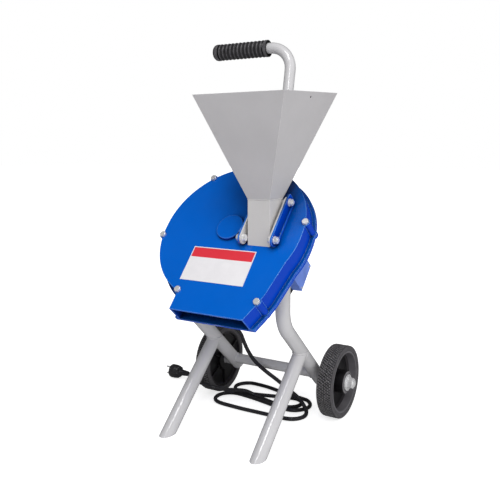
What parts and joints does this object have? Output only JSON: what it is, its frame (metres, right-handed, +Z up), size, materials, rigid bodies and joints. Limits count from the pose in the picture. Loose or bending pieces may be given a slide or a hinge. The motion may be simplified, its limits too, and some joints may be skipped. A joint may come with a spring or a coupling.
{
  "type": "garden shredder",
  "caption": "Wheeled electric garden shredder: tilted blue disc-knife casing, grey sheet hopper, bent tube frame, side-grip push handle, rear motor with switch box, mains cord.",
  "frame": {"origin": "on the floor, under the middle of the machine's own box (cord and plug left out)", "axes": "+X to the machine's right as seen from the outlet side, +Y from the outlet towards the wheels and handle, +Z up"},
  "size_m": [0.5855, 0.4502, 0.9257],
  "materials": {
    "blue_paint": "gloss",
    "grey_paint": "satin",
    "sheet_grey": "matte",
    "neck_grey": "matte",
    "zinc": "satin",
    "tool_steel": "satin",
    "cast_alloy": "matte",
    "motor_blue": "satin",
    "copper": "satin",
    "black_plastic": "satin",
    "wheel_plastic": "gloss",
    "grip_rubber": "matte",
    "tyre_rubber": "matte",
    "cord_rubber": "satin",
    "box_plastic": "matte",
    "brown_plastic": "matte",
    "label_film": "gloss",
    "green_plastic": "gloss",
    "red_plastic": "gloss"
  },
  "bodies": {
    "machine": {"main_tube_left": "grey_paint", "main_tube_right": "grey_paint", "leg_left": "grey_paint", "leg_right": "grey_paint", "crossbar": "grey_paint", "axle_left": "zinc", "axle_right": "zinc", "axle_fittings": "zinc", "rear_plate": "blue_paint", "front_casing": "blue_paint", "boss_cap": "blue_paint", "cover_bolts": "zinc", "label_plate": "label_film", "counter_knife": "tool_steel", "counter_screws": "zinc", "shaft_seal": "cord_rubber", "hopper": "sheet_grey", "feed_neck": "neck_grey", "chute_bracket_left": "blue_paint", "chute_bracket_right": "blue_paint", "chute_bolts": "zinc", "handle_bracket": "blue_paint", "handle_tube": "grey_paint", "handle_bolts": "zinc", "handle_grip": "grip_rubber", "motor_flange": "cast_alloy", "motor_bolts": "zinc", "motor_housing": "motor_blue", "stator_core": "tool_steel", "field_coils": "copper", "rear_shield": "cast_alloy", "front_bearing": "tool_steel", "rear_bearing": "tool_steel", "brush_holders": "brown_plastic", "fan_cowl": "black_plastic", "switch_box": "box_plastic", "switch_box_lid": "box_plastic", "lid_screws": "zinc", "switch_block": "black_plastic", "cable_gland": "black_plastic", "power_cord": "cord_rubber", "plug_body": "cord_rubber", "plug_pins": "zinc"},
    "rotor": {"motor_shaft": "tool_steel", "armature_core": "tool_steel", "armature_windings": "copper", "commutator": "copper", "cooling_fan": "black_plastic", "knife_disc": "tool_steel", "disc_knives": "tool_steel", "knife_screws": "tool_steel", "throw_paddles": "tool_steel", "disc_nut": "zinc"},
    "wheel_left": {"wheel_rim_left": "wheel_plastic", "tyre_left": "tyre_rubber"},
    "wheel_right": {"wheel_rim_right": "wheel_plastic", "tyre_right": "tyre_rubber"},
    "start_button": {"start_button": "green_plastic"},
    "stop_button": {"stop_button": "red_plastic"}
  },
  "joints": [
    {"name": "rotor_spin", "type": "hinge", "parent": "machine", "child": "rotor", "pos_m": [0, -0.0799, 0.481], "axis": [0, -0.7431, 0.6691], "continuous": true},
    {"name": "wheel_left_roll", "type": "hinge", "parent": "machine", "child": "wheel_left", "pos_m": [-0.17525, 0.1351, 0.09], "axis": [1, 0, 0], "continuous": true},
    {"name": "wheel_right_roll", "type": "hinge", "parent": "machine", "child": "wheel_right", "pos_m": [0.17525, 0.1351, 0.09], "axis": [1, 0, 0], "continuous": true},
    {"name": "start_press", "type": "slide", "parent": "machine", "child": "start_button", "axis": [0, -0.6691, -0.7431], "range_m": [0, 0.0035], "stiffness_N_per_m": 600},
    {"name": "stop_press", "type": "slide", "parent": "machine", "child": "stop_button", "axis": [0, -0.6691, -0.7431], "range_m": [0, 0.0035], "stiffness_N_per_m": 600}
  ]
}
